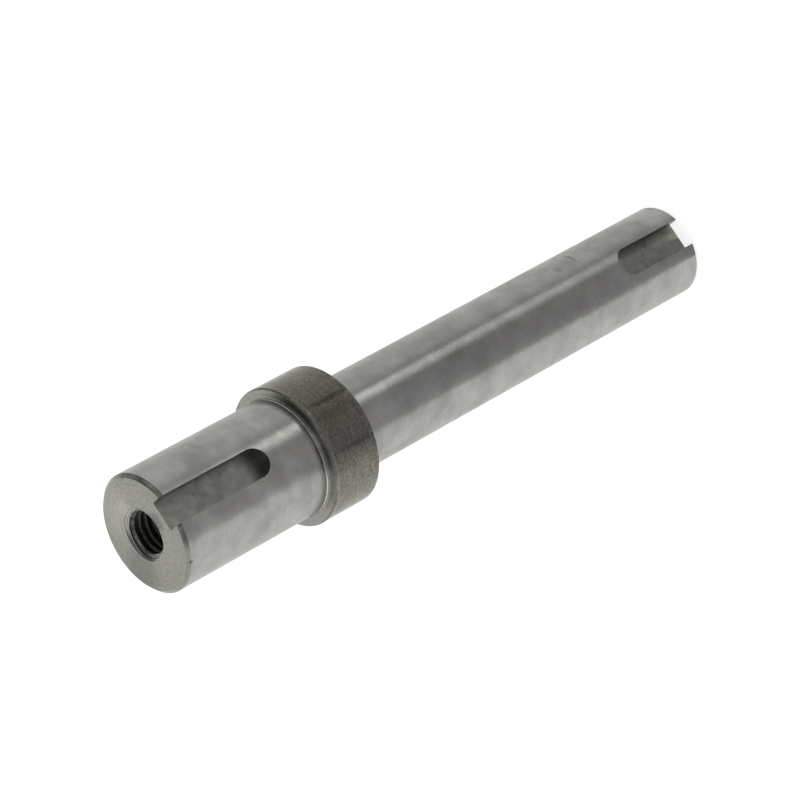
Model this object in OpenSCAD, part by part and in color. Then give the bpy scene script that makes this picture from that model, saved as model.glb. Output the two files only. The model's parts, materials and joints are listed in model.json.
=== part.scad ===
// Stepped drive shaft, turned and ground from one steel bar.
// It stands on the end of its long journal, with its axis along +Z and its tapped end on top.
// Origin: centre of the lower end face. Both keyways face -Y. Sizes are in millimetres.

/* [Long journal] */
// Ground diameter of the long journal
long_d = 19; // [17:0.5:22]
// Length from the lower end face to the collar
long_len = 96.2; // [60:0.1:160]
// Size of the chamfer round the lower end face
long_chamfer = 0.5; // [0.2:0.1:1.5]

/* [Collar] */
// Outside diameter of the collar, left as turned
collar_d = 28.3; // [27.5:0.1:36]
// Width of the collar along the shaft
collar_w = 11.4; // [5:0.1:30]
// Size of the edge break on both rims of the collar
collar_break = 0.3; // [0.1:0.1:0.5]

/* [Short journal] */
// Ground diameter of the short journal
short_d = 24; // [22:0.5:25]
// Length from the collar to the tapped end face
short_len = 35.1; // [30:0.1:60]
// Size of the chamfer round the tapped end face
short_chamfer = 0.75; // [0.3:0.05:1.5]

/* [Roots] */
// Radius of the ground fillet where each journal meets the collar
root_fillet = 0.5; // [0.2:0.1:0.6]

/* [Keyway in the short journal] */
// Width of the keyway
short_key_w = 6; // [4:0.5:8]
// Length from the tapped end face to the round blind end
short_key_len = 24; // [14:0.5:28]
// Depth of the floor below the journal's surface
short_key_depth = 3.5; // [2:0.1:4]

/* [Keyway in the long journal] */
// Width of the keyway
long_key_w = 6; // [4:0.5:8]
// Length from the lower end face to the round blind end
long_key_len = 20; // [12:0.5:50]
// Depth of the floor below the journal's surface
long_key_depth = 3.5; // [2:0.1:4]

/* [Tapped hole] */
// Diameter of the drilled hole, which carries an M10 coarse thread
tap_drill_d = 8.5; // [6.8:0.1:8.8]
// Depth of the full diameter below the end face
tap_drill_depth = 32.5; // [16:0.5:45]
// Point angle of the twist drill
drill_point_angle = 118; // [90:1:140]
// Diameter of the countersink at the end face
countersink_d = 10.6; // [9:0.1:12]
// Included angle of the countersink
countersink_angle = 90; // [60:1:120]

/* [Lathe centre] */
// Diameter of the centre drill's pilot in the lower end face
centre_pilot_d = 2.5; // [1.6:0.1:3.15]
// Depth of the pilot below the end face
centre_pilot_depth = 5.5; // [4:0.1:8]
// Diameter of the centre's cone at the end face
centre_cone_d = 5.3; // [4:0.1:6.5]
// Included angle of the centre's cone
centre_cone_angle = 60; // [60:1:90]

/* [Hidden] */
long_r = long_d / 2;
short_r = short_d / 2;
collar_r = collar_d / 2;
collar_z = long_len;
shoulder_z = collar_z + collar_w;
tapped_face_z = shoulder_z + short_len;
// How far a cutter starts outside the metal
cutter_clear = 1;
steel = [0.62, 0.62, 0.6];
$fn = 96;

// Half outline of the turned bar: radius along X, height along Y
module turned_outline() {
    polygon([
        [0, 0],
        [long_r - long_chamfer, 0],
        [long_r, long_chamfer],
        [long_r, collar_z],
        [collar_r - collar_break, collar_z],
        [collar_r, collar_z + collar_break],
        [collar_r, shoulder_z - collar_break],
        [collar_r - collar_break, shoulder_z],
        [short_r, shoulder_z],
        [short_r, tapped_face_z - short_chamfer],
        [short_r - short_chamfer, tapped_face_z],
        [0, tapped_face_z]
    ]);
    translate([long_r, collar_z]) mirror([0, 1]) root_corner();
    translate([short_r, shoulder_z]) root_corner();
}

// What a fillet leaves in the corner between a journal and the collar
module root_corner() {
    difference() {
        square(root_fillet);
        translate([root_fillet, root_fillet]) circle(r = root_fillet);
    }
}

// Path of an end mill that enters over the end at Y = 0 and stops in a round end at Y = length
module slot_outline(width, length) {
    mill_r = width / 2;
    translate([-mill_r, -cutter_clear]) square([width, length - mill_r + cutter_clear]);
    translate([0, length - mill_r]) circle(r = mill_r);
}

// Keyway cutter for a journal of the given radius: open at Z = 0, flat floor, facing -Y
module keyway(journal_r, width, length, depth) {
    floor_y = journal_r - depth;
    translate([0, -floor_y, 0])
        rotate([90, 0, 0])
            linear_extrude(depth + cutter_clear) slot_outline(width, length);
}

// Conical mouth of a hole, which opens at Z = 0 and narrows below it
module cone_mouth(mouth_d, hole_d, angle) {
    slope = tan(angle / 2);
    height = (mouth_d - hole_d) / 2 / slope;
    translate([0, 0, -height])
        cylinder(h = height + cutter_clear, d1 = hole_d, d2 = mouth_d + 2 * cutter_clear * slope);
}

// Blind drilled hole from Z = 0 down to its full-diameter depth, then the drill's point
module drilled_hole(hole_d, depth, point_angle) {
    point_h = hole_d / 2 / tan(point_angle / 2);
    translate([0, 0, -depth]) cylinder(h = depth + cutter_clear, d = hole_d);
    translate([0, 0, -depth - point_h]) cylinder(h = point_h, d1 = 0, d2 = hole_d);
}

// Drilled and countersunk hole for the screw that clamps a hub against the collar
module tapped_hole() {
    translate([0, 0, tapped_face_z]) {
        drilled_hole(tap_drill_d, tap_drill_depth, drill_point_angle);
        cone_mouth(countersink_d, tap_drill_d, countersink_angle);
    }
}

// Centre hole on which the bar turned while it was ground
module lathe_centre() {
    mirror([0, 0, 1]) {
        drilled_hole(centre_pilot_d, centre_pilot_depth, drill_point_angle);
        cone_mouth(centre_cone_d, centre_pilot_d, centre_cone_angle);
    }
}

module shaft() {
    color(steel)
        difference() {
            rotate_extrude() turned_outline();
            keyway(long_r, long_key_w, long_key_len, long_key_depth);
            translate([0, 0, tapped_face_z])
                mirror([0, 0, 1]) keyway(short_r, short_key_w, short_key_len, short_key_depth);
            tapped_hole();
            lathe_centre();
        }
}

shaft();
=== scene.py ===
"""Looks of a stepped, keyed drive shaft, ground and turned from one steel bar.

The shaft stands on the plain end of its long journal, with the tapped end on top, in the frame of the
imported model. One closed mesh stands for the bar: a revolved outline with its fillets, chamfers and edge
breaks, less two end-milled keyways, a tapped hole with its true helix and a lathe centre. Seven finishes
dress it. The camera lies on its side, as in the photograph.
"""

import json
import logging
import math
from dataclasses import dataclass, field
from enum import Enum
from typing import ClassVar

import bpy
from mathutils import Matrix, Vector

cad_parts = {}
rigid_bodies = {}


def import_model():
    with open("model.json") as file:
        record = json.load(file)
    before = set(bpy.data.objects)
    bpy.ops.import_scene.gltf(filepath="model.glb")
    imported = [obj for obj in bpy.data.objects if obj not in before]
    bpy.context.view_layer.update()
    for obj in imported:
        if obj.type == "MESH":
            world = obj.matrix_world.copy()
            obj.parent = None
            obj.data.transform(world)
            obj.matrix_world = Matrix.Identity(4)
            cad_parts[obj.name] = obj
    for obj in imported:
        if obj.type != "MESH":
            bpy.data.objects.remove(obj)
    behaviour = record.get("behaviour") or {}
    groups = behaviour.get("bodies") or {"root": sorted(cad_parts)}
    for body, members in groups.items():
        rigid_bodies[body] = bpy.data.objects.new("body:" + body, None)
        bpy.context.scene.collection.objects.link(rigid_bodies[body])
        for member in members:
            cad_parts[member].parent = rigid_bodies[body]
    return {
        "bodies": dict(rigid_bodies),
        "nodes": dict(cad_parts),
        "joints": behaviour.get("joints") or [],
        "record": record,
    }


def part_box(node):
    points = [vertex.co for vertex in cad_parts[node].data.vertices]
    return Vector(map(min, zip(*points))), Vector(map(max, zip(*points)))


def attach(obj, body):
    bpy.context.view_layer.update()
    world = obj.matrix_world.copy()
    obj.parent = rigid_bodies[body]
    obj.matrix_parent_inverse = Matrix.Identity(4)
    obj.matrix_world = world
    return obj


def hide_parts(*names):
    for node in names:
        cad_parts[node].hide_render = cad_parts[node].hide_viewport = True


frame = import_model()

LOG = logging.getLogger("shaft")
MM = 0.001
SEAM_GAP = 0.0005 * MM
WHITE = "#ffffff"
MATH = "ShaderNodeMath"
VECTOR_MATH = "ShaderNodeVectorMath"
MAP_RANGE = "ShaderNodeMapRange"
NOISE = "ShaderNodeTexNoise"
COMBINE = "ShaderNodeCombineXYZ"
MIX_SHADER = "ShaderNodeMixShader"
Point = tuple[float, float]
Tree = bpy.types.NodeTree
Node = bpy.types.Node
Socket = bpy.types.NodeSocket
Source = Socket | Node


def linear(hex_colour: str) -> tuple[float, float, float, float]:
    """Turn an sRGB hex colour into Blender's linear colour.

    Args:
        hex_colour: Colour as "#rrggbb".

    Returns:
        Red, green, blue and an alpha of 1.
    """
    channels = [int(hex_colour[i : i + 2], 16) / 255 for i in (1, 3, 5)]
    curve = [c / 12.92 if c <= 0.04045 else ((c + 0.055) / 1.055) ** 2.4 for c in channels]
    return (*curve, 1.0)


def add_node(
    tree: Tree, kind: str, inputs: dict[str | int, object] | None = None, **settings: object
) -> Node:
    """Add a node with its settings and links.

    Args:
        tree: Node tree that takes the node.
        kind: Type name of the node.
        inputs: A value, a source socket or a node for each input, by the input's name or place. A
            node stands for its first output.
        **settings: Properties of the node, by name.

    Returns:
        The new node.
    """
    node = tree.nodes.new(kind)
    for name, value in settings.items():
        setattr(node, name, value)
    for key, value in (inputs or {}).items():
        source = value.outputs[0] if isinstance(value, Node) else value
        if isinstance(source, Socket):
            tree.links.new(source, node.inputs[key])
        else:
            node.inputs[key].default_value = source
    return node


def new_material(name: str) -> tuple[bpy.types.Material, Tree]:
    """Make an empty node material.

    Args:
        name: Name of the real finish.

    Returns:
        The material and its node tree.
    """
    material = bpy.data.materials.new(name)
    material.use_nodes = True
    material.node_tree.nodes.clear()
    return material, material.node_tree


def add_object(name: str, data: bpy.types.ID) -> bpy.types.Object:
    """Make an object and put it in the scene.

    Args:
        name: Name of the object.
        data: Its mesh, lamp or camera.

    Returns:
        The object.
    """
    made = bpy.data.objects.new(name, data)
    bpy.context.scene.collection.objects.link(made)
    return made


@dataclass(frozen=True)
class StainAndPaintedLight:
    """A soft darker or paler place on the steel: real marks, and painted reflection, highlight and shade.

    It lies at a radius, an azimuth in degrees from -Y, and a height, and fades out over its reach round
    the shaft and along it, all in millimetres. A shade under 1 is darker than the steel about it, and
    over 1 is paler.
    """

    radius: float
    azimuth: float
    height: float
    around: float
    along: float
    shade: float

    # Share of the reach, from the middle, that the patch covers in full.
    CORE: ClassVar[float] = 0.3

    def laid_over(self, tree: Tree, where: Source, colour: Source) -> Source:
        """Lay the patch over a colour.

        Args:
            tree: The material's node tree.
            where: Place on the shaft in metres.
            colour: The colour so far.

        Returns:
            The colour with the patch.
        """
        turn = math.radians(self.azimuth)
        out, up = self.radius * MM, self.height * MM
        centre = (out * math.sin(turn), -out * math.cos(turn), up)
        reach = (1 / (self.around * MM), 1 / (self.around * MM), 1 / (self.along * MM))
        away = add_node(tree, VECTOR_MATH, {0: where, 1: centre}, operation="SUBTRACT")
        scaled = add_node(tree, VECTOR_MATH, {0: away, 1: reach}, operation="MULTIPLY")
        distance = add_node(tree, VECTOR_MATH, {0: scaled}, operation="LENGTH").outputs["Value"]
        cover = add_node(
            tree,
            MAP_RANGE,
            {"Value": distance, "From Min": self.CORE, "From Max": 1.0, "To Min": 1.0, "To Max": 0.0},
            interpolation_type="SMOOTHSTEP",
        )
        shaded = add_node(tree, VECTOR_MATH, {0: colour, "Scale": self.shade}, operation="SCALE")
        mix = add_node(tree, "ShaderNodeMix", {0: cover, 6: colour, 7: shaded}, data_type="RGBA")
        return mix.outputs[2]


@dataclass(frozen=True)
class SteelFinish:
    """What all finishes of the bar share: bare steel with the marks of the tool that cut it.

    Colours are sRGB. The roughness is given for the palest and the darkest places. The marks' spacing and
    depth, the patches' size and how far the edges of the stains and of the painted light and shade fray,
    and how finely, are in millimetres. The mark share says how much of the colour follows the marks rather
    than the patches, and grazing how much glossier the steel looks where it is seen at a flat angle.
    """

    name: str
    light: str
    dark: str
    roughness: tuple[float, float]
    anisotropy: float = 0.0
    mark_spacing: float = 0.3
    mark_depth: float = 0.001
    patch_size: float = 0.7
    mark_share: float = 0.35
    mark_detail: float = 3.0
    mark_roughness: float = 0.7
    placed: tuple[StainAndPaintedLight, ...] = ()
    fray: float = 0.5
    fray_grain: float = 0.9
    grazing: float = 0.0

    # Values of the pattern between which the colour and the roughness change, and of the facing between
    # which the grazing sets in.
    COLOUR_STOPS: ClassVar[tuple[float, float]] = (0.38, 0.62)
    ROUGHNESS_STOPS: ClassVar[tuple[float, float]] = (0.3, 0.7)
    GRAZING_STOPS: ClassVar[tuple[float, float]] = (0.4, 0.9)
    # Fineness of the patches and of the stains' frayed edges.
    PATCH_NOISE: ClassVar[dict[str, float]] = {"Detail": 4.0, "Roughness": 0.6}
    FRAY_NOISE: ClassVar[dict[str, float]] = {"Detail": 3.0}
    # Turns the sheen a quarter round, from the radial tangent to the shaft's length.
    SHEEN_TURN: ClassVar[float] = 0.25

    def tool_path(self, tree: Tree, where: Socket) -> Source:
        """Bend the place on the shaft, so that plain noise over it runs along the tool's path."""
        raise NotImplementedError

    def stains_and_painted_light(self, tree: Tree, where: Socket, colour: Source) -> Source:
        """Lay the finish's stains and painted light and shade over its colour, with frayed edges.

        Args:
            tree: The material's node tree.
            where: Place on the shaft in metres.
            colour: The colour so far.

        Returns:
            The colour with its stains and painted light and shade.
        """
        if not self.placed:
            return colour
        noise = add_node(
            tree, NOISE, {"Vector": where, "Scale": 1 / (self.fray_grain * MM), **self.FRAY_NOISE}
        ).outputs["Color"]
        shift = add_node(tree, VECTOR_MATH, {0: noise, 1: (0.5, 0.5, 0.5)}, operation="SUBTRACT")
        fray = (self.fray * MM,) * 3
        frayed = add_node(tree, VECTOR_MATH, {0: shift, 1: fray, 2: where}, operation="MULTIPLY_ADD")
        for stain in self.placed:
            colour = stain.laid_over(tree, frayed, colour)
        return colour

    def build(self) -> bpy.types.Material:
        """Build the material.

        Returns:
            A metal whose colour and roughness vary over patches and marks.
        """
        material, tree = new_material(self.name)
        where = add_node(tree, "ShaderNodeTexCoord").outputs["Object"]
        marks = add_node(
            tree,
            NOISE,
            {
                "Vector": self.tool_path(tree, where),
                "Scale": 1 / (self.mark_spacing * MM),
                "Detail": self.mark_detail,
                "Roughness": self.mark_roughness,
            },
        )
        patches = add_node(
            tree, NOISE, {"Vector": where, "Scale": 1 / (self.patch_size * MM), **self.PATCH_NOISE}
        )
        rest = 1 - self.mark_share
        patched = add_node(tree, MATH, {0: patches, 1: rest}, operation="MULTIPLY")
        blend = add_node(tree, MATH, {0: marks, 1: self.mark_share, 2: patched}, operation="MULTIPLY_ADD")
        ramp = add_node(tree, "ShaderNodeValToRGB", {"Fac": blend})
        stops = zip(ramp.color_ramp.elements, self.COLOUR_STOPS, (self.dark, self.light))
        for stop, place, colour in stops:
            stop.position = place
            stop.color = linear(colour)
        pale, dark = self.roughness
        start, end = self.ROUGHNESS_STOPS
        roughness = add_node(
            tree,
            MAP_RANGE,
            {"Value": blend, "From Min": start, "From Max": end, "To Min": dark, "To Max": pale},
        )
        if self.grazing:
            start, end = self.GRAZING_STOPS
            facing = add_node(tree, "ShaderNodeLayerWeight", {"Blend": 0.5}).outputs["Facing"]
            keep = add_node(
                tree,
                MAP_RANGE,
                {
                    "Value": facing,
                    "From Min": start,
                    "From Max": end,
                    "To Min": 1.0,
                    "To Max": 1 - self.grazing,
                },
            )
            roughness = add_node(tree, MATH, {0: roughness, 1: keep}, operation="MULTIPLY")
        bump = add_node(
            tree, "ShaderNodeBump", {"Strength": 1.0, "Distance": self.mark_depth * MM, "Height": marks}
        )
        tangent = add_node(tree, "ShaderNodeTangent", direction_type="RADIAL", axis="Z")
        surface = add_node(
            tree,
            "ShaderNodeBsdfPrincipled",
            {
                "Base Color": self.stains_and_painted_light(tree, where, ramp),
                "Metallic": 1.0,
                "Roughness": roughness,
                "Anisotropic": self.anisotropy,
                "Anisotropic Rotation": self.SHEEN_TURN,
                "Normal": bump,
                "Tangent": tangent,
            },
        )
        add_node(tree, "ShaderNodeOutputMaterial", {"Surface": surface})
        return material


@dataclass(frozen=True)
class RoundTheAxis(SteelFinish):
    """Marks that run round the shaft, from a grinding wheel or a turning tool: fine rings along the axis.

    The wander is how far in millimetres a mark runs before it changes.
    """

    wander: float = 40.0

    def tool_path(self, tree: Tree, where: Socket) -> Source:
        """Squeeze the place across the axis, so that noise turns into rings."""
        scale = (self.mark_spacing / self.wander,) * 2 + (1.0,)
        return add_node(tree, "ShaderNodeMapping", {"Vector": where, "Scale": scale})


@dataclass(frozen=True)
class FacedSteel(SteelFinish):
    """Marks of a facing cut: rings about the axis that widen from the centre."""

    mark_share: float = 0.45
    mark_roughness: float = 0.65

    def tool_path(self, tree: Tree, where: Socket) -> Source:
        """Take the distance from the axis, so that noise turns into rings on a flat face.

        Args:
            tree: The material's node tree.
            where: Place on the shaft in metres.

        Returns:
            The distance from the axis and the height.
        """
        flat = add_node(tree, VECTOR_MATH, {0: where, 1: (1.0, 1.0, 0.0)}, operation="MULTIPLY")
        radius = add_node(tree, VECTOR_MATH, {0: flat}, operation="LENGTH").outputs["Value"]
        height = add_node(tree, "ShaderNodeSeparateXYZ", {0: where}).outputs["Z"]
        return add_node(tree, COMBINE, {"X": radius, "Y": height})


@dataclass(frozen=True)
class MilledSteel(SteelFinish):
    """Marks of an end mill in a keyway's floor: arcs of the cutter's radius, one for each step of feed."""

    mark_detail: float = 2.0
    mark_roughness: float = 0.6
    cutter_radius: float = 3.0
    middle: float = 71.35

    def tool_path(self, tree: Tree, where: Socket) -> Source:
        """Take how far the cutter's front edge has come, from the shaft's middle towards either end.

        Args:
            tree: The material's node tree.
            where: Place on the shaft in metres.

        Returns:
            The way that the front edge has come.
        """
        axes = add_node(tree, "ShaderNodeSeparateXYZ", {0: where}).outputs
        across = add_node(tree, MATH, {0: axes["X"], 1: 2.0}, operation="POWER")
        reach = (self.cutter_radius * MM) ** 2
        left = add_node(tree, MATH, {0: reach, 1: across}, operation="SUBTRACT")
        bulge = add_node(tree, MATH, {0: left}, operation="SQRT")
        middle = self.middle * MM
        offset = add_node(tree, MATH, {0: axes["Z"], 1: middle}, operation="SUBTRACT")
        along = add_node(tree, MATH, {0: offset}, operation="ABSOLUTE")
        front = add_node(tree, MATH, {0: along, 1: bulge}, operation="ADD")
        return add_node(tree, COMBINE, {"X": front})


# Reach in millimetres of a patch on the axis that goes the whole way round.
WHOLE_ROUND = 400.0
# Cylindrically ground steel: a satin sheen that keeps reflections sharp across the shaft and smears them
# along it, with grinding lines drawn about three times as coarse as the wheel leaves them.
GROUND_JOURNAL = RoundTheAxis(
    name="ground_steel",
    light="#acaca8",
    dark="#999996",
    roughness=(0.24, 0.32),
    anisotropy=0.8,
    mark_spacing=0.35,
    mark_depth=0.0002,
    patch_size=5.0,
    mark_share=0.25,
    fray=1.2,
    # Handling marks and darker and paler patches on the long journal, then on the short one, and last
    # painted shade by the root and a burr.
    placed=(
        StainAndPaintedLight(9.5, 45.7, 27.6, 2.8, 0.5, 0.62),
        StainAndPaintedLight(9.5, 35.7, 32.7, 1.4, 1.3, 0.78),
        StainAndPaintedLight(9.5, 11.0, 68.0, 3.5, 6.0, 0.86),
        StainAndPaintedLight(9.5, -5.0, 71.0, 4.2, 24.0, 0.88),
        StainAndPaintedLight(9.5, -24.0, 18.0, 5.0, 11.0, 1.11),
        StainAndPaintedLight(9.5, -33.0, 47.0, 5.0, 6.0, 0.94),
        StainAndPaintedLight(9.5, -62.0, 19.0, 5.0, 7.0, 0.94),
        StainAndPaintedLight(9.5, 38.0, 60.0, 4.0, 4.5, 0.94),
        # A paler foot: painted reflection of the floor beside it.
        StainAndPaintedLight(9.5, 36.0, 1.0, 9.0, 10.0, 1.14),
        StainAndPaintedLight(9.5, -45.0, 1.0, 9.0, 8.0, 1.07),
        StainAndPaintedLight(12.0, 33.0, 131.0, 6.0, 4.5, 0.84),
        StainAndPaintedLight(12.0, 46.0, 128.5, 1.8, 1.1, 0.84),
        StainAndPaintedLight(12.0, 59.0, 118.5, 4.0, 3.0, 0.88),
        StainAndPaintedLight(12.0, 24.0, 138.5, 3.0, 2.5, 1.07),
        StainAndPaintedLight(12.0, -38.0, 125.0, 2.5, 4.0, 0.94),
        StainAndPaintedLight(12.0, -56.0, 123.5, 2.8, 4.0, 0.87),
        StainAndPaintedLight(12.0, -76.0, 126.0, 4.0, 3.0, 0.9),
        StainAndPaintedLight(12.0, -46.0, 136.0, 7.0, 4.5, 1.11),
        # A paler place by the root: painted reflection.
        StainAndPaintedLight(12.0, -37.0, 115.0, 3.0, 2.5, 1.12),
        StainAndPaintedLight(12.0, -22.0, 108.3, 3.5, 0.5, 0.6),
        StainAndPaintedLight(12.0, -52.8, 141.8, 0.5, 0.4, 0.6),
    ),
)
# Steel left as the roughing tool turned it: dull, darker and a little brown, with coarse rings.
TURNED_COLLAR = RoundTheAxis(
    name="rough_turned_steel",
    light="#959389",
    dark="#6d6b62",
    roughness=(0.37, 0.43),
    anisotropy=1.0,
    mark_spacing=0.28,
    mark_depth=0.002,
    patch_size=0.5,
    mark_share=0.4,
    fray=0.3,
    grazing=0.6,
    wander=4.0,
    # Two broad darker bands of painted reflection, dark streaks along the collar, and last the brighter rim
    # beside the edge break.
    placed=(
        StainAndPaintedLight(14.15, 10.0, 102.0, 2.9, 11.0, 0.54),
        StainAndPaintedLight(14.15, -9.0, 102.0, 6.0, 12.0, 0.92),
        StainAndPaintedLight(14.15, -24.3, 100.6, 0.75, 6.5, 0.7),
        StainAndPaintedLight(14.15, -22.5, 100.5, 2.2, 7.5, 0.9),
        StainAndPaintedLight(14.15, 15.9, 101.0, 0.8, 8.0, 0.6),
        StainAndPaintedLight(0.0, 0.0, 106.9, WHOLE_ROUND, 0.4, 1.2),
    ),
)
# The fillet at the root of the short journal, painted near white: a painted highlight, the bright line it
# reflects.
ROOT_PAINTED_HIGHLIGHT = RoundTheAxis(
    name="painted_highlight_steel",
    light="#ecebe6",
    dark="#d2d1cb",
    roughness=(0.26, 0.34),
    anisotropy=0.3,
    patch_size=1.2,
)
# Faced steel: concentric rings from the facing tool on the ends, the collar's faces and the chamfers.
FACED_END = FacedSteel(
    name="faced_steel",
    light="#a09f98",
    dark="#8c8b84",
    roughness=(0.3, 0.38),
    anisotropy=0.6,
    # Painted reflection on the tapped end's face, painted shade on the collar's, painted light and shade
    # at the hole's rim, a ring of painted shade at the fillet's foot, and last painted light and shade on
    # the chamfer, with a burr.
    placed=(
        StainAndPaintedLight(8.5, 214.0, 142.7, 6.5, 5.0, 0.72),
        StainAndPaintedLight(9.5, 268.0, 142.7, 6.0, 5.0, 0.92),
        StainAndPaintedLight(9.0, 120.0, 142.7, 7.5, 5.0, 1.18),
        StainAndPaintedLight(13.0, 20.0, 107.6, 7.0, 1.0, 0.45),
        StainAndPaintedLight(12.8, -24.0, 107.6, 3.5, 1.0, 0.7),
        StainAndPaintedLight(5.4, 2.0, 142.7, 2.8, 0.5, 0.6),
        StainAndPaintedLight(5.8, 95.0, 142.7, 2.6, 0.5, 1.14),
        StainAndPaintedLight(0.0, 0.0, 107.88, WHOLE_ROUND, 0.24, 0.5),
        StainAndPaintedLight(11.6, 32.0, 142.2, 2.5, 0.42, 2.0),
        StainAndPaintedLight(11.6, -60.0, 142.3, 6.0, 0.45, 0.84),
        StainAndPaintedLight(11.8, -15.6, 142.3, 0.7, 0.7, 0.45),
        StainAndPaintedLight(12.0, -52.8, 142.0, 0.6, 0.4, 0.4),
        StainAndPaintedLight(11.6, -29.0, 142.2, 3.0, 0.5, 0.6),
        StainAndPaintedLight(11.6, 68.0, 142.2, 5.0, 0.5, 0.75),
    ),
)
# Steel that the countersink cut last, painted pale as a painted reflection, with painted shade by the
# keyway.
COUNTERSINK = FacedSteel(
    name="countersunk_steel",
    light="#dad9d1",
    dark="#cfcdc6",
    roughness=(0.36, 0.44),
    anisotropy=0.4,
    fray=0.2,
    # Painted shade on the keyway's side, along the rim across from it and at the start of the thread.
    placed=(
        StainAndPaintedLight(4.8, -5.0, 142.2, 7.0, 3.0, 0.38),
        StainAndPaintedLight(5.1, 176.0, 142.55, 3.6, 0.35, 0.3),
        StainAndPaintedLight(5.1, 226.0, 142.55, 3.6, 0.35, 0.3),
        StainAndPaintedLight(4.3, 220.0, 141.7, 3.2, 0.4, 0.25),
    ),
)
# End-milled steel in the keyways: duller than the journals, with the cutter's arcs.
MILLED_KEYWAY = MilledSteel(
    name="end_milled_steel",
    light="#9d9d96",
    dark="#84847d",
    roughness=(0.34, 0.42),
    mark_spacing=0.45,
    mark_depth=0.0008,
    patch_size=2.0,
    mark_share=0.3,
    # Darker smears along both floors, and a paler place near the long keyway's open end: painted light that
    # lifts the shadow of its wall.
    placed=(
        StainAndPaintedLight(8.5, -3.0, 130.5, 3.0, 12.0, 0.78),
        StainAndPaintedLight(8.6, 6.0, 134.5, 0.7, 0.5, 0.7),
        StainAndPaintedLight(8.6, -8.0, 129.5, 1.6, 1.5, 0.85),
        StainAndPaintedLight(6.4, 20.0, 6.0, 1.6, 16.0, 0.64),
        StainAndPaintedLight(6.2, -14.0, 3.0, 1.3, 5.0, 1.15),
    ),
)
# Tapped steel: flanks that the tap has burnished, darker than the rest of the bar.
TAPPED_HOLE = RoundTheAxis(
    name="tapped_steel",
    light="#807e74",
    dark="#56544b",
    roughness=(0.5, 0.65),
    mark_depth=0.003,
    patch_size=1.0,
)


class ShaftEnd(Enum):
    """The two ends of the shaft, with the way from the shaft's middle to each."""

    TAPPED = 1
    LOWER = -1


@dataclass(frozen=True)
class FramedSizes:
    """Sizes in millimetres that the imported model's box and mounts give."""

    length: float
    collar_radius: float
    collar_low: float
    collar_high: float
    long_radius: float
    short_radius: float
    drill_radius: float
    drill_depth: float

    @classmethod
    def read(cls, packed: dict) -> "FramedSizes":
        """Read the sizes from the frame.


        Returns:
            The sizes.
        """
        low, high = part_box("shaft")
        mounts = {mount["name"]: mount for mount in packed["record"]["mounts"]}
        hole = mounts["tapped_hole"]
        hole_middle = hole["pos_m"][2] / MM
        return cls(
            length=(high.z - low.z) / MM,
            collar_radius=high.x / MM,
            collar_low=mounts["collar_face_long_side"]["pos_m"][2] / MM,
            collar_high=mounts["collar_face_short_side"]["pos_m"][2] / MM,
            long_radius=mounts["long_journal"]["dims"]["r_mm"],
            short_radius=mounts["short_journal"]["dims"]["r_mm"],
            drill_radius=hole["dims"]["r_mm"],
            drill_depth=high.z / MM - (hole_middle - hole["dims"]["length_mm"] / 2),
        )


def arc(centre: Point, radius: float, start_deg: float, end_deg: float, steps: int) -> list[Point]:
    """Lay points along an arc.

    Args:
        centre: The arc's centre.
        radius: The arc's radius.
        start_deg: Angle of the first point.
        end_deg: Angle of the last point.
        steps: How many stretches the arc has.

    Returns:
        The points, both ends included.
    """
    angles = [math.radians(start_deg + (end_deg - start_deg) * i / steps) for i in range(steps + 1)]
    return [(centre[0] + radius * math.cos(a), centre[1] + radius * math.sin(a)) for a in angles]


def new_tree(name: str, sockets: dict[str, str]) -> tuple[Tree, Node, Node]:
    """Make an empty Geometry Nodes tree with a geometry output.

    Args:
        name: Name of the tree.
        sockets: The type of each input, by the input's name.

    Returns:
        The tree, its input node and its output node.
    """
    tree = bpy.data.node_groups.new(name, "GeometryNodeTree")
    for socket, kind in sockets.items():
        tree.interface.new_socket(socket, in_out="INPUT", socket_type=kind)
    tree.interface.new_socket("Geometry", in_out="OUTPUT", socket_type="NodeSocketGeometry")
    return tree, tree.nodes.new("NodeGroupInput"), tree.nodes.new("NodeGroupOutput")


def finish_tree(tree: Tree, geometry: Source, material: Socket, outgoing: Node) -> None:
    """End a tree in Realize Instances and Set Material.

    Args:
        tree: The tree.
        geometry: What it made.
        material: The material to set.
        outgoing: The tree's output node.
    """
    real = add_node(tree, "GeometryNodeRealizeInstances", {"Geometry": geometry})
    dressed = add_node(tree, "GeometryNodeSetMaterial", {"Geometry": real, "Material": material})
    tree.links.new(dressed.outputs[0], outgoing.inputs[0])


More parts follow.
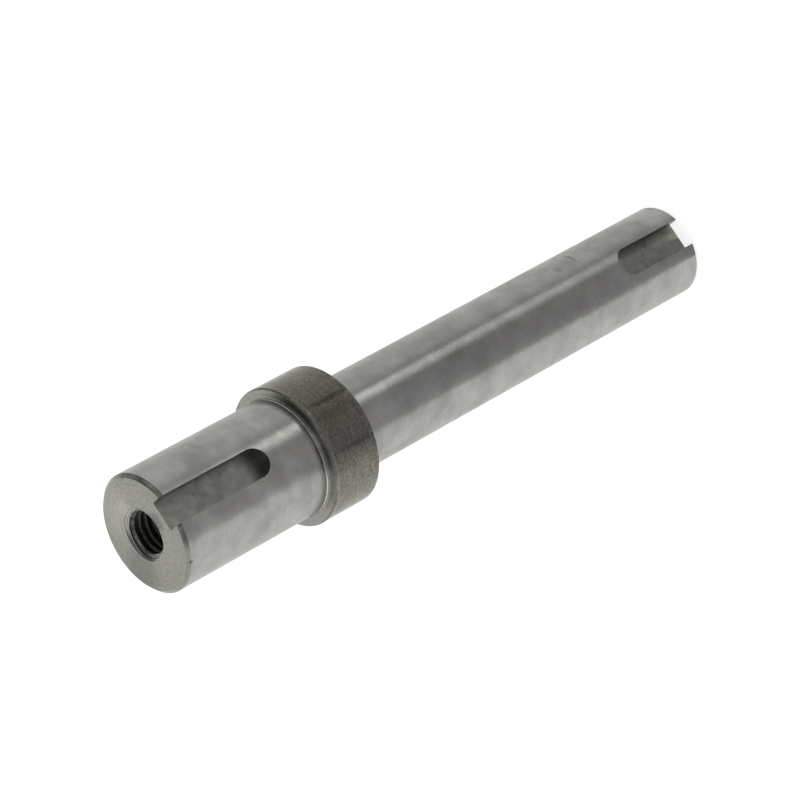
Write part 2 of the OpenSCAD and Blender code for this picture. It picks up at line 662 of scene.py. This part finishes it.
def revolve_tree() -> Tree:
    """Build the tree that turns an outline in the X-Z plane round the Z axis.

    Returns:
        The tree, with the inputs Segments and Material.
    """
    tree, given, outgoing = new_tree(
        "Revolved outline",
        {"Geometry": "NodeSocketGeometry", "Segments": "NodeSocketInt", "Material": "NodeSocketMaterial"},
    )
    outline = given.outputs["Geometry"]
    segments = given.outputs["Segments"]
    size = add_node(tree, "GeometryNodeAttributeDomainSize", {"Geometry": outline})
    points = size.outputs["Point Count"]
    columns = add_node(tree, MATH, {0: segments, 1: 1.0}, operation="ADD")
    sheet = add_node(tree, "GeometryNodeMeshGrid", {"Vertices X": points, "Vertices Y": columns})
    index = add_node(tree, "GeometryNodeInputIndex")
    ratio = add_node(tree, MATH, {0: index, 1: columns}, operation="DIVIDE")
    row = add_node(tree, MATH, {0: ratio}, operation="FLOOR")
    column = add_node(tree, MATH, {0: index, 1: columns}, operation="MODULO")
    place = add_node(tree, "GeometryNodeInputPosition")
    sampled = add_node(
        tree,
        "GeometryNodeSampleIndex",
        {"Geometry": outline, "Index": row, "Value": place},
        data_type="FLOAT_VECTOR",
    )
    turn = add_node(tree, MATH, {0: column, 1: segments}, operation="DIVIDE")
    angle = add_node(tree, MATH, {0: turn, 1: math.tau}, operation="MULTIPLY")
    turned = add_node(
        tree, "ShaderNodeVectorRotate", {"Vector": sampled, "Angle": angle}, rotation_type="Z_AXIS"
    )
    wrapped = add_node(tree, "GeometryNodeSetPosition", {"Geometry": sheet, "Position": turned})
    closed = add_node(tree, "GeometryNodeMergeByDistance", {"Geometry": wrapped, "Distance": SEAM_GAP})
    finish_tree(tree, closed, given.outputs["Material"], outgoing)
    return tree


def coil_tree(steps_per_turn: int = 72) -> Tree:
    """Build the tree that winds a thread's groove round the Z axis.

    Args:
        steps_per_turn: How many stretches one turn of the groove has.

    Returns:
        The tree, with inputs for the groove's pitch, turns, radii and widths, and its material.
    """
    radii, widths = ("Inner Radius", "Outer Radius"), ("Inner Width", "Outer Width")
    sockets = {name: "NodeSocketFloat" for name in ("Pitch", "Turns", "Start Height", *radii, *widths)}
    tree, given, outgoing = new_tree("Thread groove", {**sockets, "Material": "NodeSocketMaterial"})
    value = given.outputs
    height = add_node(tree, MATH, {0: value["Pitch"], 1: value["Turns"]}, operation="MULTIPLY")
    helix = add_node(
        tree,
        "GeometryNodeCurveSpiral",
        {
            "Resolution": steps_per_turn,
            "Rotations": value["Turns"],
            "Start Radius": value["Inner Radius"],
            "End Radius": value["Inner Radius"],
            "Height": height,
            "Reverse": True,
        },
    )
    upright = add_node(tree, "GeometryNodeSetCurveNormal", {"Curve": helix}, mode="Z_UP")
    reach = add_node(tree, MATH, {0: value["Outer Radius"], 1: value["Inner Radius"]}, operation="SUBTRACT")
    inner, outer = widths
    corners = []
    for width, side in ((inner, 0.5), (inner, -0.5), (outer, -0.5), (outer, 0.5)):
        half = add_node(tree, MATH, {0: value[width], 1: side}, operation="MULTIPLY")
        place = {"Y": half} if width == inner else {"X": reach, "Y": half}
        corners.append(add_node(tree, COMBINE, place))
    section = add_node(
        tree,
        "GeometryNodeCurvePrimitiveQuadrilateral",
        {f"Point {i + 1}": corner for i, corner in enumerate(corners)},
        mode="POINTS",
    )
    groove = add_node(
        tree, "GeometryNodeCurveToMesh", {"Curve": upright, "Profile Curve": section, "Fill Caps": True}
    )
    lift = add_node(tree, COMBINE, {"Z": value["Start Height"]})
    placed = add_node(tree, "GeometryNodeTransform", {"Geometry": groove, "Translation": lift})
    finish_tree(tree, placed, value["Material"], outgoing)
    return tree


def plain_copy(source: bpy.types.Object, name: str) -> bpy.types.Object:
    """Turn an object with live modifiers into a plain mesh and remove the source.

    Args:
        source: The object with its modifiers.
        name: Name of the new object.

    Returns:
        The plain object.
    """
    depsgraph = bpy.context.evaluated_depsgraph_get()
    mesh = bpy.data.meshes.new_from_object(source.evaluated_get(depsgraph), depsgraph=depsgraph)
    bpy.data.objects.remove(source)
    for index in reversed([i for i, material in enumerate(mesh.materials) if material is None]):
        mesh.materials.pop(index=index)
    mesh.name = name
    return add_object(name, mesh)


def shaped(
    name: str, tree: Tree, values: dict[str, object], outline: list[Point] | None = None
) -> bpy.types.Object:
    """Run a Geometry Nodes tree and keep its result as a plain object.

    Args:
        name: Name of the object.
        tree: The tree.
        values: A value for each of the tree's inputs, by the input's name.
        outline: Points in millimetres from the axis and up it, for a tree that takes an outline.

    Returns:
        The plain object.
    """
    mesh = bpy.data.meshes.new(name)
    if outline:
        points = [(radius * MM, 0.0, height * MM) for radius, height in outline]
        mesh.from_pydata(points, [(i, i + 1) for i in range(len(points) - 1)], [])
    source = add_object(name, mesh)
    modifier = source.modifiers.new(name, "NODES")
    modifier.node_group = tree
    for item in tree.interface.items_tree:
        if item.item_type == "SOCKET" and item.in_out == "INPUT" and item.name in values:
            modifier[item.identifier] = values[item.name]
    return plain_copy(source, name)


@dataclass
class Keyway:
    """An end-milled keyway that is open at one end of the shaft. Sizes are in millimetres."""

    end: ShaftEnd
    end_height: float
    journal_radius: float
    length: float
    width: float = 6.0
    depth: float = 3.5
    clear: float = 1.0
    arc_steps: int = 48

    def cutter(self, material: bpy.types.Material) -> bpy.types.Object:
        """Make what the end mill takes away: a slot with one round end, deep towards -Y.

        Args:
            material: Finish of the slot's floor and walls.

        Returns:
            The cutter as a closed mesh.
        """
        half = self.width / 2
        way = self.end.value
        round_centre = self.end_height - way * (self.length - half)
        open_height = self.end_height + way * self.clear
        blind = arc((0.0, round_centre), half, 0.0, -180.0 * way, self.arc_steps)
        outline = [(half, open_height), *blind, (-half, open_height)]
        floor = -(self.journal_radius - self.depth)
        roof = -(self.journal_radius + self.clear)
        count = len(outline)
        points = [(x * MM, y * MM, z * MM) for y in (floor, roof) for x, z in outline]
        sides = [(i, (i + 1) % count, (i + 1) % count + count, i + count) for i in range(count)]
        ends = [tuple(reversed(range(count))), tuple(range(count, 2 * count))]
        mesh = bpy.data.meshes.new("keyway_cutter")
        mesh.from_pydata(points, [], sides + ends)
        mesh.materials.append(material)
        fix_normals(mesh)
        return add_object("keyway_cutter", mesh)


def fix_normals(mesh: bpy.types.Mesh) -> None:
    """Turn a closed mesh right side out when its volume comes out negative.

    Args:
        mesh: The closed mesh.
    """
    mesh.calc_loop_triangles()
    corners = [[mesh.vertices[i].co for i in triangle.vertices] for triangle in mesh.loop_triangles]
    if sum(a.dot(b.cross(c)) for a, b, c in corners) < 0:
        mesh.flip_normals()


@dataclass
class DriveShaft:
    """The bar: two ground journals with a turned collar between them. Sizes are in millimetres."""

    sizes: FramedSizes
    segments: int = 512
    hole_segments: int = 128
    arc_steps: int = 8
    clear: float = 1.0
    long_chamfer: float = 0.5
    short_chamfer: float = 0.75
    collar_break: float = 0.3
    root_fillet: float = 0.5
    short_keyway_length: float = 24.0
    long_keyway_length: float = 20.0
    countersink_radius: float = 5.3
    drill_point_deg: float = 118.0
    centre_pilot_radius: float = 1.25
    centre_pilot_depth: float = 5.5
    centre_cone_radius: float = 2.65
    centre_cone_deg: float = 60.0
    thread_pitch: float = 1.5
    thread_radius: float = 5.0
    thread_length: float = 25.0
    thread_root_width: float = 0.19
    thread_overlap: float = 0.25
    thread_flank_deg: float = 30.0
    materials: dict[str, bpy.types.Material] = field(default_factory=dict)

    # Finishes of the turned faces, which are shaded as the true round.
    TURNED: ClassVar[tuple[str, ...]] = ("ground", "collar", "faced", "root", "countersunk")
    # How far in degrees a face leans from the shaft's side where it counts as faced, and where as the part
    # of the fillet that carries the painted highlight.
    FACED_LEAN: ClassVar[float] = 14.0
    PAINTED_HIGHLIGHT_LEAN: ClassVar[tuple[float, float]] = (3.0, 36.0)
    # How far in millimetres inside its edge break the collar's own finish still reaches.
    COLLAR_MARGIN: ClassVar[float] = 0.05
    # Rise of the normal over which a face is flat across the axis.
    FLAT: ClassVar[float] = 0.99
    DEAD_FLAT: ClassVar[float] = 0.999

    def bar_outline(self) -> list[Point]:
        """Lay out the turned outline from the lower end's centre to the tapped end's.

        Returns:
            Radius and height of each point.
        """
        size, fillet = self.sizes, self.root_fillet
        low_root = arc(
            (size.long_radius + fillet, size.collar_low - fillet), fillet, 180.0, 90.0, self.arc_steps
        )
        high_root = arc(
            (size.short_radius + fillet, size.collar_high + fillet), fillet, 270.0, 180.0, self.arc_steps
        )
        return [
            (0.0, 0.0),
            (size.long_radius - self.long_chamfer, 0.0),
            (size.long_radius, self.long_chamfer),
            *low_root,
            (size.collar_radius - self.collar_break, size.collar_low),
            (size.collar_radius, size.collar_low + self.collar_break),
            (size.collar_radius, size.collar_high - self.collar_break),
            (size.collar_radius - self.collar_break, size.collar_high),
            *high_root,
            (size.short_radius, size.length - self.short_chamfer),
            (size.short_radius - self.short_chamfer, size.length),
            (0.0, size.length),
        ]

    def drill_outline(self) -> list[Point]:
        """Lay out the tapping drill and the countersink, from the drill's point up.

        Returns:
            Radius and height of each point.
        """
        size = self.sizes
        bottom = size.length - size.drill_depth
        point = size.drill_radius / math.tan(math.radians(self.drill_point_deg / 2))
        return [
            (0.0, bottom - point),
            (size.drill_radius, bottom),
            (size.drill_radius, size.length - (self.countersink_radius - size.drill_radius)),
            (self.countersink_radius + self.clear, size.length + self.clear),
            (0.0, size.length + self.clear),
        ]

    def centre_outline(self) -> list[Point]:
        """Lay out the centre drill that the lathe's point ran in, from outside up into the bar.

        Returns:
            Radius and height of each point.
        """
        slope = math.tan(math.radians(self.centre_cone_deg / 2))
        cone_depth = (self.centre_cone_radius - self.centre_pilot_radius) / slope
        return [
            (0.0, -self.clear),
            (self.centre_cone_radius + self.clear * slope, -self.clear),
            (self.centre_pilot_radius, cone_depth),
            (self.centre_pilot_radius, self.centre_pilot_depth),
            (0.0, self.centre_pilot_depth + self.centre_pilot_radius / 2),
        ]

    def groove(self, tree: Tree, material: bpy.types.Material) -> bpy.types.Object:
        """Wind the groove that the tap cuts, right-handed, with 60 degree flanks.

        Args:
            tree: The coil's tree.
            material: Finish of the thread.

        Returns:
            The groove as a closed mesh.
        """
        size = self.sizes
        inner = size.drill_radius - self.thread_overlap
        flank = math.tan(math.radians(self.thread_flank_deg))
        turns = (self.thread_length + 2 * self.thread_pitch) / self.thread_pitch
        return shaped(
            "thread_groove",
            tree,
            {
                "Pitch": self.thread_pitch * MM,
                "Turns": turns,
                "Inner Radius": inner * MM,
                "Outer Radius": self.thread_radius * MM,
                "Inner Width": (self.thread_root_width + 2 * (self.thread_radius - inner) * flank) * MM,
                "Outer Width": self.thread_root_width * MM,
                "Start Height": (size.length - self.thread_length) * MM,
                "Material": material,
            },
        )

    def dress(self, mesh: bpy.types.Mesh) -> None:
        """Give each turned face its finish, by where it lies, and leave the cut faces as they are.

        Args:
            mesh: The cut bar, whose turned faces still have the ground finish.
        """
        size = self.sizes
        slots = [material.name for material in mesh.materials]
        ground = slots.index(self.materials["ground"].name)
        indices = {}
        for finish in ("collar", "faced", "root", "countersunk"):
            if self.materials[finish].name not in slots:
                mesh.materials.append(self.materials[finish])
                slots.append(self.materials[finish].name)
            indices[finish] = slots.index(self.materials[finish].name)
        steep = math.sin(math.radians(self.FACED_LEAN))
        highlight_from, highlight_to = (math.sin(math.radians(lean)) for lean in self.PAINTED_HIGHLIGHT_LEAN)
        root_top = size.collar_high + self.root_fillet
        countersink = size.length - (self.countersink_radius - size.drill_radius)
        edge = size.collar_radius - self.collar_break - self.COLLAR_MARGIN
        tapped = slots.index(self.materials["tapped"].name)
        for face in mesh.polygons:
            height = face.center.z / MM
            radius = face.center.to_2d().length / MM
            if face.material_index == tapped and height > countersink and abs(face.normal.z) > steep:
                face.material_index = indices["countersunk"]
            if face.material_index != ground:
                continue
            on_face = abs(face.normal.z) > self.FLAT
            if size.collar_low <= height <= size.collar_high and radius > edge and not on_face:
                face.material_index = indices["collar"]
            # The band of the fillet that gets the painted highlight.
            elif size.collar_high < height < root_top and highlight_from < face.normal.z < highlight_to:
                face.material_index = indices["root"]
            elif abs(face.normal.z) > steep:
                face.material_index = indices["faced"]

    def smooth(self, mesh: bpy.types.Mesh) -> None:
        """Shade the turned faces as the true round: each corner takes its face's slope at its own azimuth.

        Args:
            mesh: The dressed bar.
        """
        names = {self.materials[finish].name for finish in self.TURNED}
        turned = {index for index, material in enumerate(mesh.materials) if material.name in names}
        mesh.polygons.foreach_set("use_smooth", [True] * len(mesh.polygons))
        normals = [(0.0, 0.0, 0.0)] * len(mesh.loops)
        for face in mesh.polygons:
            normal = face.normal
            if face.material_index in turned and abs(normal.z) < self.DEAD_FLAT:
                slope = normal.to_2d().length
                for loop in face.loop_indices:
                    out = mesh.vertices[mesh.loops[loop].vertex_index].co.to_2d().normalized()
                    normals[loop] = (out.x * slope, out.y * slope, normal.z)
            else:
                for loop in face.loop_indices:
                    normals[loop] = tuple(normal)
        mesh.normals_split_custom_set(normals)

    def build(self) -> bpy.types.Object:
        """Turn, mill, drill and tap the bar, and dress it.

        Returns:
            The finished piece, in place.
        """
        self.materials = {
            "ground": GROUND_JOURNAL.build(),
            "collar": TURNED_COLLAR.build(),
            "root": ROOT_PAINTED_HIGHLIGHT.build(),
            "faced": FACED_END.build(),
            "countersunk": COUNTERSINK.build(),
            "milled": MILLED_KEYWAY.build(),
            "tapped": TAPPED_HOLE.build(),
        }
        size, revolved = self.sizes, revolve_tree()
        bar = shaped(
            "bar",
            revolved,
            {"Segments": self.segments, "Material": self.materials["ground"]},
            self.bar_outline(),
        )
        keyways = (
            Keyway(ShaftEnd.TAPPED, size.length, size.short_radius, self.short_keyway_length),
            Keyway(ShaftEnd.LOWER, 0.0, size.long_radius, self.long_keyway_length),
        )
        cutters = [keyway.cutter(self.materials["milled"]) for keyway in keyways]
        for name, outline in (("tap_drill", self.drill_outline()), ("centre_drill", self.centre_outline())):
            values = {"Segments": self.hole_segments, "Material": self.materials["tapped"]}
            cutters.append(shaped(name, revolved, values, outline))
        cutters.append(self.groove(coil_tree(), self.materials["tapped"]))
        for cutter in cutters:
            fix_normals(cutter.data)
            cut = bar.modifiers.new(cutter.name, "BOOLEAN")
            cut.operation = "DIFFERENCE"
            cut.solver = "MANIFOLD"
            cut.material_mode = "TRANSFER"
            cut.object = cutter
        fix_normals(bar.data)
        piece = plain_copy(bar, "shaft_steel")
        for cutter in cutters:
            bpy.data.objects.remove(cutter)
        self.dress(piece.data)
        self.smooth(piece.data)
        return piece


class CardPlace(Enum):
    """Where a card is set up."""

    FLOOR = "floor"
    WALL = "wall"


@dataclass(frozen=True)
class StudioCard:
    """A card that only reflections see. Its two long edges are straight lines that run away from the
    shaft along the floor, or up a wall round the scene, so that its reflection runs along the shaft.

    The edges are given by the facing of the metal that reflects them, in degrees round from the camera.
    Tones go from the start edge to the end edge, near the shaft and, where given, where the short journal
    looks. Beyond that, a card on the floor keeps a share of the far tones. The gain scales them all. A
    wall's bottom and top are given in degrees above the floor.
    """

    name: str
    start: float
    end: float
    tones: tuple[str, str]
    far_tones: tuple[str, str] | None = None
    place: CardPlace = CardPlace.FLOOR
    bottom: float = 0.0
    top: float = 0.0
    gain: float = 1.0
    beyond: float = 0.35


# How much brighter than their tones the cards of the narrow glow are, and what is left of it far out.
GLOW = {"gain": 5.2, "beyond": 0.02}
STUDIO_CARDS = (
    StudioCard("floor_front", -25.0, 11.5, ("#adabae", "#a09e9f"), ("#e8e6e9", "#dedcdd")),
    StudioCard("floor_glow_rise", 11.5, 18.5, ("#3f3f3e", "#70706e"), ("#82807b", WHITE), **GLOW),
    StudioCard("floor_glow", 18.5, 22.5, ("#70706e", "#70706e"), (WHITE, "#f6f4ef"), **GLOW),
    StudioCard("floor_glow_fall", 22.5, 24.5, ("#70706e", "#70706e"), ("#f6f4ef", "#5f5d59"), **GLOW),
    StudioCard("floor_strip", 24.5, 29.5, ("#a6a6a4", "#acacaa"), ("#cdcdca", "#dcdcd9")),
    StudioCard("floor_side_near", 29.5, 38.0, ("#bbbbb9", "#dadad8"), ("#e9e9e7", "#fafaf8")),
    StudioCard("floor_side", 38.0, 84.0, ("#dadad8", "#eeedeb"), ("#f2f2f0", "#f4f4f2")),
    StudioCard("floor_back", 84.0, 96.0, ("#a8a8a8", "#a8a8a8")),
    StudioCard("floor_left", -84.0, -58.0, ("#f2f2f0", WHITE)),
    StudioCard("floor_left_near", -58.0, -25.0, (WHITE, "#f4f4f3"), gain=1.07),
    StudioCard("wall_front", -31.0, 12.0, ("#8d8b8d", "#8d8b8d"), place=CardPlace.WALL, top=66.0),
    StudioCard("wall_side", 12.0, 70.0, ("#969694", "#b4b4b2"), place=CardPlace.WALL, top=22.0),
    StudioCard(
        "wall_dark", 12.0, 56.0, ("#383837", "#383837"), place=CardPlace.WALL, bottom=22.0, top=46.0
    ),
    StudioCard(
        "wall_high", 12.0, 56.0, ("#8b8b8a", "#8b8b8a"), place=CardPlace.WALL, bottom=46.0, top=62.0
    ),
    StudioCard(
        "wall_far_side", 56.0, 70.0, ("#b4b4b2", "#b4b4b2"), place=CardPlace.WALL, bottom=22.0, top=55.0
    ),
    StudioCard("wall_back", 84.0, 96.0, ("#a8a8a8", "#a8a8a8"), place=CardPlace.WALL, top=12.0),
)


@dataclass
class Studio:
    """A white studio: floor, surroundings, soft lamps and the cards that the metal reflects.

    The camera's azimuth is in degrees, and the radius of the shaft's foot and all sizes are in
    millimetres. The card steps are where a floor card's tone may change, and the far shares say how much
    of the far tone each of its points but the last two takes.
    """

    camera_azimuth: float
    foot_radius: float
    floor_size: float = 12000.0
    floor_drop: float = 0.2
    card_lift: float = 0.05
    card_tuck: float = 4.0
    card_steps: tuple[float, ...] = (126.0, 146.0, 158.0, 172.0)
    card_reach: float = 1500.0
    far_shares: tuple[float, ...] = (0.0, 0.0, 1.0, 1.0)
    floor_light: float = 0.7
    paper_lift: float = 1.32
    paper_lift_share: float = 0.6
    lamp_size: float = 1400.0

    def white_for_eyes(self, tree: Tree) -> Source:
        """Tell the rays that show the surroundings from those that light them.

        Args:
            tree: Node tree of the floor or the world.

        Returns:
            1 for camera, glossy and transmission rays, and 0 for the rest.
        """
        path = add_node(tree, "ShaderNodeLightPath").outputs
        seen = path["Is Camera Ray"]
        for ray in ("Is Glossy Ray", "Is Transmission Ray"):
            seen = add_node(tree, MATH, {0: seen, 1: path[ray]}, operation="MAXIMUM")
        return seen

    def build_world(self) -> None:
        """Surround the scene with plain white, a little lower where it lights the floor."""
        world = bpy.data.worlds.new("studio")
        world.use_nodes = True
        tree = world.node_tree
        tree.nodes.clear()
        white = linear(WHITE)
        lighting, seen = (
            add_node(tree, "ShaderNodeBackground", {"Color": white, "Strength": strength})
            for strength in (self.floor_light, 1.0)
        )
        mix = add_node(tree, MIX_SHADER, {0: self.white_for_eyes(tree), 1: lighting, 2: seen})
        add_node(tree, "ShaderNodeOutputWorld", {"Surface": mix})
        bpy.context.scene.world = world

    def build_floor(self) -> None:
        """Lay the floor, which shows white and keeps a soft shadow."""
        half = self.floor_size / 2
        corners = ((-half, -half), (half, -half), (half, half), (-half, half))
        mesh = bpy.data.meshes.new("floor")
        mesh.from_pydata([(x * MM, y * MM, -self.floor_drop * MM) for x, y in corners], [], [(0, 1, 2, 3)])
        material, tree = new_material("white_paper")
        matt = add_node(tree, "ShaderNodeBsdfDiffuse", {"Color": linear("#e9e9e9")})
        lift = add_node(tree, "ShaderNodeEmission", {"Color": linear(WHITE), "Strength": self.paper_lift})
        shown = add_node(tree, MIX_SHADER, {0: self.paper_lift_share, 1: matt, 2: lift})
        mix = add_node(tree, MIX_SHADER, {0: self.white_for_eyes(tree), 1: matt, 2: shown})
        add_node(tree, "ShaderNodeOutputMaterial", {"Surface": mix})
        mesh.materials.append(material)
        floor = add_object("floor", mesh)

    def card_line(self, card: StudioCard, facing: float, rows: int) -> list[Vector]:
        """Lay one of the lines that a card is made of.

        Args:
            card: The card.
            facing: Facing of the metal that reflects the line, in degrees round from the camera.
            rows: How many strips a wall has.

        Returns:
            Points from the shaft outwards, or from the floor up.
        """
        out = math.radians(self.camera_azimuth + facing)
        away = math.radians(self.camera_azimuth + 2 * facing)
        level = Vector((math.sin(away), -math.cos(away), 0.0))
        if card.place is CardPlace.WALL:
            step = (card.top - card.bottom) / rows
            rises = [math.radians(card.bottom + step * row) for row in range(rows + 1)]
            up = Vector((0.0, 0.0, 1.0))
            return [(level * math.cos(rise) + up * math.sin(rise)) * self.card_reach * MM for rise in rises]
        foot = Vector((math.sin(out), -math.cos(out), 0.0)) * self.foot_radius
        foot.z = self.card_lift
        return [(foot + level * run) * MM for run in (-self.card_tuck, *self.card_steps, self.card_reach)]

    def card_mesh(self, card: StudioCard, columns: int = 12, rows: int = 10) -> bpy.types.Mesh:
        """Lay out a card from its lines.

        Args:
            card: The card.
            columns: How many strips it has from side to side.
            rows: How many strips a wall has.

        Returns:
            The card's mesh, with its tone stored on its points.
        """
        mesh = bpy.data.meshes.new(card.name)
        near = [Vector(linear(tone)) * card.gain for tone in card.tones]
        far = [Vector(linear(tone)) * card.gain for tone in card.far_tones or card.tones]
        points, tones = [], []
        for column in range(columns + 1):
            share = column / columns
            line = self.card_line(card, card.start + (card.end - card.start) * share, rows)
            near_tone, far_tone = near[0].lerp(near[1], share), far[0].lerp(far[1], share)
            points += line
            shares = [0.0] * len(line)
            if card.place is CardPlace.FLOOR:
                shares = [*self.far_shares, card.beyond, card.beyond]
            tones += [near_tone.lerp(far_tone, far_share) for far_share in shares]
        per_line = len(points) // (columns + 1)
        faces = [
            (c * per_line + r, (c + 1) * per_line + r, (c + 1) * per_line + r + 1, c * per_line + r + 1)
            for c in range(columns)
            for r in range(per_line - 1)
        ]
        mesh.from_pydata(points, [], faces)
        stored = mesh.attributes.new("tone", "FLOAT_COLOR", "POINT")
        stored.data.foreach_set("color", [channel for tone in tones for channel in tone])
        return mesh

    def build_cards(self) -> None:
        """Set up the cards, which only reflections see."""
        material, tree = new_material("card")
        tone = add_node(tree, "ShaderNodeAttribute", attribute_name="tone").outputs["Color"]
        glow = add_node(tree, "ShaderNodeEmission", {"Color": tone, "Strength": 1.0})
        add_node(tree, "ShaderNodeOutputMaterial", {"Surface": glow})
        for card in STUDIO_CARDS:
            mesh = self.card_mesh(card)
            mesh.materials.append(material)
            made = add_object(card.name, mesh)
            for ray in ("camera", "diffuse", "transmission", "volume_scatter", "shadow"):
                setattr(made, f"visible_{ray}", False)

    def build_lamps(self) -> None:
        """Hang two soft lamps that light the floor evenly and aren't seen in the metal."""
        lamps = (("lamp_key", (-0.5, -0.3, 1.8), 9.0), ("lamp_fill", (0.7, 0.5, 1.6), 5.0))
        for name, place, watts in lamps:
            lamp = bpy.data.lights.new(name, "AREA")
            lamp.shape = "SQUARE"
            lamp.size = self.lamp_size * MM
            lamp.energy = watts
            hung = add_object(name, lamp)
            hung.location = place
            hung.rotation_mode = "QUATERNION"
            hung.rotation_quaternion = (-Vector(place)).to_track_quat("-Z", "Y")
            hung.visible_glossy = False

    def build(self) -> None:
        """Build the whole studio."""
        self.build_world()
        self.build_floor()
        self.build_cards()
        self.build_lamps()


@dataclass(frozen=True)
class PhotoCamera:
    """The camera at the photograph's angle, which lies on its side. Lengths are in millimetres."""

    azimuth: float = -8.274
    elevation: float = 36.392
    roll: float = -118.804
    distance: float = 682.98
    aim_height: float = 71.35
    aim_right: float = -0.930
    aim_up: float = 4.863
    focal_length: float = 158.68
    sensor: float = 36.0

    def build(self) -> None:
        """Set the camera up and make it the scene's."""
        azimuth, elevation, roll = (math.radians(a) for a in (self.azimuth, self.elevation, self.roll))
        back = Vector(
            (
                math.sin(azimuth) * math.cos(elevation),
                -math.cos(azimuth) * math.cos(elevation),
                math.sin(elevation),
            )
        )
        level_right = Vector((math.cos(azimuth), math.sin(azimuth), 0.0))
        level_up = back.cross(level_right)
        right = level_right * math.cos(roll) + level_up * math.sin(roll)
        up = level_up * math.cos(roll) - level_right * math.sin(roll)
        aim = Vector((0.0, 0.0, self.aim_height)) + level_right * self.aim_right + level_up * self.aim_up
        place = (aim + back * self.distance) * MM
        lens = bpy.data.cameras.new("camera")
        lens.sensor_width = self.sensor
        lens.lens = self.focal_length
        camera = add_object("camera", lens)
        turn = Matrix((right, up, back)).transposed().to_4x4()
        camera.matrix_world = Matrix.Translation(place) @ turn
        bpy.context.scene.camera = camera


def main() -> None:
    """Build the camera, the shaft and the studio, put the shaft on the root body and hide the imported
    part.
    """
    logging.basicConfig(level=logging.INFO, format="%(name)s: %(message)s")
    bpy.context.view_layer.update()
    bpy.context.scene.view_settings.view_transform = "Standard"
    eye = PhotoCamera()
    eye.build()
    shaft = DriveShaft(FramedSizes.read(frame))
    piece = shaft.build()
    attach(piece, "root")
    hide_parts("shaft")
    LOG.info("%s: %d faces", piece.name, len(piece.data.polygons))
    Studio(eye.azimuth, shaft.sizes.long_radius).build()


if __name__ == "__main__":
    main()
